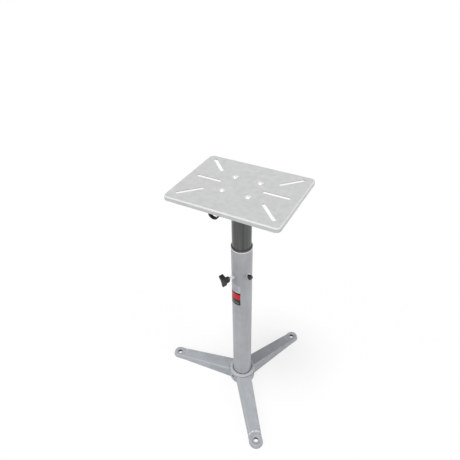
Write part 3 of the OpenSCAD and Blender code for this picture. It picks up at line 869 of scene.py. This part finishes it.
# Flange bolts, washers and nuts
# Four M8 carriage bolts drop through the plate and the flange. Under the flange each takes a
# flat washer, a split spring washer and a nut.
bolt_place, bolt_length, bolt_thread_start, bolt_point, bolt_seat = 0.037, 0.0196, 0.006, 0.001, 0.00001
dome_r, dome_height, dome_angle, dome_under, dome_rows = 0.0085, 0.0032, 0.72, 0.0003, 10
washer_bore_r, washer_r, washer_height = 0.0043, 0.008, 0.0016
washer_ease, washer_foot_ease, washer_top_ease = 0.0002, 0.0003, 0.0005
spring_bore_r, spring_r, spring_height = 0.0043, 0.0064, 0.002
spring_gap, spring_lead, spring_steps = 0.16, 0.0004, 60
flange_nut_height, flange_nut_turn = 0.0065, 0.3


def dome_point(angle):
    """A place on a bolt's dome, a part of a sphere that is squashed to its height."""
    rise = math.cos(angle) - math.cos(dome_angle)
    return (dome_r * math.sin(angle) / math.sin(dome_angle),
            dome_height * rise / (1 - math.cos(dome_angle)))


def at_bolt(height, turn=0.0):
    """Places a piece at one of the four bolts."""
    return Matrix.Translation((bolt_place, bolt_place, height)) @ Matrix.Rotation(turn, 4, "Z")


dome = [dome_point(angle) for angle in np.linspace(0, dome_angle, dome_rows)]
bolt_neck = [(dome_r - dome_under, -bolt_seat), (thread_r, -bolt_seat)]
bolt_shank = rows(thread_r, -bolt_thread_start, bolt_point - bolt_length)
bolt_tip = [(thread_point_r, -bolt_length), (0, -bolt_length)]
bolts = turned("carriage_bolts", dome + bolt_neck + bolt_shank + bolt_tip, count=40)
thread(bolts, -bolt_length, -bolt_thread_start, thread_r, zinc)
bolts.data.transform(at_bolt(plate_top))
round_column.shape(bolts, zinc, Count=4)
fit(bolts, "head", "zinc_steel", "flange_bolts")

washers = turned("flat_washers", eased([
    (washer_bore_r, -washer_height, washer_ease), (washer_r, -washer_height, washer_foot_ease),
    (washer_r, 0, washer_top_ease), (washer_bore_r, 0, washer_ease)], ring=True), count=64, ring=True)
washers.data.transform(at_bolt(flange_under))
round_column.shape(washers, zinc, Count=4)
fit(washers, "head", "zinc_steel", "flange_washers")

spring_rise = spring_height - spring_lead
spring_corners = ((spring_bore_r, 0), (spring_r, 0), (spring_r, spring_rise), (spring_bore_r, spring_rise))
spring_points = []
for share in np.linspace(0, 1, spring_steps):
    turn = spring_gap + share * (math.tau - spring_gap * 1.5)
    spring_points += [(r * math.cos(turn), r * math.sin(turn), z + share * spring_lead)
                      for r, z in spring_corners]
spring_faces = [(i * 4 + k, i * 4 + (k + 1) % 4, i * 4 + 4 + (k + 1) % 4, i * 4 + 4 + k)
                for i in range(spring_steps - 1) for k in range(4)]
last = (spring_steps - 1) * 4
spring_faces += [(3, 2, 1, 0), (last, last + 1, last + 2, last + 3)]
spring_mesh = bpy.data.meshes.new("spring_washers")
spring_mesh.from_pydata(spring_points, [], spring_faces)
tidy_mesh(spring_mesh)
springs = place_object("spring_washers", spring_mesh)
spring_foot = flange_under - washer_height - spring_height
springs.data.transform(at_bolt(spring_foot))
round_column.shape(springs, zinc, Count=4)
fit(springs, "head", "zinc_steel", "flange_lock_washers")


def flange_nut_section(angle):
    return nut_section(nut_flats, flange_nut_height, nut_bore_r, angle)


nuts = turned("flange_hex_nuts", flange_nut_section, ring=True)
nuts.data.transform(at_bolt(spring_foot - flange_nut_height, flange_nut_turn))
round_column.shape(nuts, zinc, Count=4)
fit(nuts, "head", "zinc_steel", "flange_nuts")


# Tool hook
# Black steel strip bent to a U that hangs from a stud welded under the plate's front edge, with
# a washer and a nut.
hook_row, hook_bend_x, hook_bend_z, hook_top = -0.118, -0.015, 0.8025, 0.8175
hook_bend_r, hook_thickness, hook_width, hook_ease = 0.0115, 0.003, 0.010, 0.0005
hook_tab_start, hook_tab_length, hook_corner_r, hook_tip = 0.0274, 0.0235, 0.004, 0.002
hook_ease_steps, hook_corner_points, hook_bend_points, hook_crease = 3, 7, 33, 50
hook_stud_r, hook_stud_x, hook_stud_length, hook_stud_bare = 0.003, -0.0425, 0.0107, 0.003
hook_stud_point_r, hook_stud_lead, hook_pitch, hook_thread_depth = 0.0024, 0.0006, 0.001, 0.00055
hook_washer_bore_r, hook_washer_r, hook_washer_height, hook_washer_ease = 0.0033, 0.006, 0.0012, 0.0002
hook_nut_flats, hook_nut_height, hook_nut_gap = 0.010, 0.005, 0.00005

bend_strip = Shaper("bend_strip", Width="Float", Thickness="Float")
strip_line = bend_strip.add("GeometryNodeSetCurveNormal", {
    "Curve": bend_strip.add("GeometryNodeMeshToCurve", [bend_strip.value("Piece")]),
    "Normal": (0.0, 1.0, 0.0)}, mode="FREE")
strip_section = bend_strip.add("GeometryNodeFilletCurve", {
    "Curve": bend_strip.add("GeometryNodeCurvePrimitiveQuadrilateral", {
        "Width": bend_strip.value("Width"), "Height": bend_strip.value("Thickness")}),
    "Count": hook_ease_steps, "Radius": hook_ease}, mode="POLY")
bend_strip.close(bend_strip.add("GeometryNodeCurveToMesh", {
    "Curve": strip_line, "Profile Curve": strip_section, "Fill Caps": True}))

middle_r = hook_bend_r + hook_thickness / 2
middle_top = hook_top - hook_thickness / 2
left_x = hook_bend_x - middle_r
hook_path = [(left_x - hook_tab_start + share * hook_tab_length, middle_top) for share in (0, 0.5, 1)]
hook_path += [(left_x - hook_corner_r + hook_corner_r * math.sin(turn),
               middle_top - hook_corner_r + hook_corner_r * math.cos(turn))
              for turn in np.linspace(0, math.pi / 2, hook_corner_points)]
hook_path += [(hook_bend_x - middle_r * math.cos(turn), hook_bend_z - middle_r * math.sin(turn))
              for turn in np.linspace(0, math.pi, hook_bend_points)]
hook_path.append((hook_bend_x + middle_r, hook_bend_z + hook_tip))
hook_mesh = bpy.data.meshes.new("bent_strip_hook")
hook_mesh.from_pydata([(x, hook_row, z) for x, z in hook_path],
                      [(i, i + 1) for i in range(len(hook_path) - 1)], [])
hook = place_object("bent_strip_hook", hook_mesh)
bend_strip.shape(hook, oxide, Width=hook_width, Thickness=hook_thickness)
tidy_mesh(hook.data, crease=hook_crease)
fit(hook, "head", "black_steel", "tool_hook")


def at_hook(height):
    """Places a piece on the hook's stud."""
    return Matrix.Translation((hook_stud_x, hook_row, height))


hook_thread_end = hook_stud_length - hook_stud_bare
hook_stud = turned("hook_stud_thread", [(0, 0), (hook_stud_point_r, 0)] + rows(
    hook_stud_r, hook_stud_lead, hook_thread_end, hook_pitch) + [
    (hook_stud_r, hook_stud_length), (0, hook_stud_length)], count=32)
thread(hook_stud, 0, hook_thread_end, hook_stud_r, zinc, hook_pitch, hook_thread_depth)
hook_stud.data.transform(at_hook(hook_top - hook_stud_length))
fit(hook_stud, "head", "zinc_steel", "hook_stud")

hook_washer = turned("hook_flat_washer", eased([
    (hook_washer_bore_r, 0, hook_washer_ease), (hook_washer_r, 0, hook_washer_ease * 2),
    (hook_washer_r, hook_washer_height, hook_washer_ease),
    (hook_washer_bore_r, hook_washer_height, hook_washer_ease)], ring=True), count=48, ring=True)
hook_washer_foot = hook_top - hook_thickness - hook_washer_height
hook_washer.data.transform(at_hook(hook_washer_foot))
hook_washer.data.materials.append(zinc.material)
fit(hook_washer, "head", "zinc_steel", "hook_washer")


def hook_nut_section(angle):
    return nut_section(hook_nut_flats, hook_nut_height, hook_stud_r + hook_nut_gap, angle)


hook_nut = turned("hook_hex_nut", hook_nut_section, count=72, ring=True)
hook_nut.data.transform(at_hook(hook_washer_foot - hook_nut_height))
hook_nut.data.materials.append(zinc.material)
fit(hook_nut, "head", "zinc_steel", "hook_nut")


# Label
# Printed film stuck on the lower tube under the knob: plain fields of silver, black and red with
# straight rules, and no words.
label_turn, label_width, label_low, label_height = -29.0, 0.052, 0.404, 0.082
silver_low, black_low, black_high, red_low, red_high = 0.62, 0.56, 0.645, 0.29, 0.56
rule_count, rule_share, rule_low, rule_high, rule_in = 26, 0.35, 0.70, 0.93, 0.12
stripe_count, stripe_share, line_low, line_high, line_in = 12, 0.5, 0.10, 0.125, 0.1
print_silver, print_grey = colour(196, 198, 206), colour(46, 48, 50)
print_rule, print_black, print_line = colour(120, 124, 132), colour(22, 22, 24), colour(150, 152, 156)
print_red, print_stripe = colour(208, 30, 42), colour(222, 92, 98)


def band(value, low, high):
    """1 between two values and 0 outside them."""
    return (value > low) * (value < high)


film = Finish("printed_label_film", Roughness=0.34, Specular_IOR_Level=0.2)
x, y, z = film.axes(film.place)
across = (x.angle(0 - y) - math.radians(label_turn)) * (tube_r / label_width) + 0.5
up = (z - label_low) / label_height
red_field = band(up, red_low, red_high)
rules = (band((up * rule_count).part(), 0.0, rule_share) * band(up, rule_low, rule_high)
         * band(across, rule_in, 1 - rule_in))
stripes = red_field * band((across * stripe_count).part(), 0.0, stripe_share)
line = band(up, line_low, line_high) * band(across, line_in, 1 - line_in)
print_colour = film.mix(band(up, silver_low, 1.0), print_grey, print_silver)
print_colour = film.mix(rules * 0.7, print_colour, print_rule)
print_colour = film.mix(band(up, black_low, black_high), print_colour, print_black)
print_colour = film.mix(red_field, print_colour, print_red)
print_colour = film.mix(stripes * 0.18, print_colour, print_stripe)
print_colour = film.mix(line, print_colour, print_line)
film.feed(Base_Color=print_colour)
film.relief(film.noise(0.004, 2) * 0.00003)
repaint("label", film)
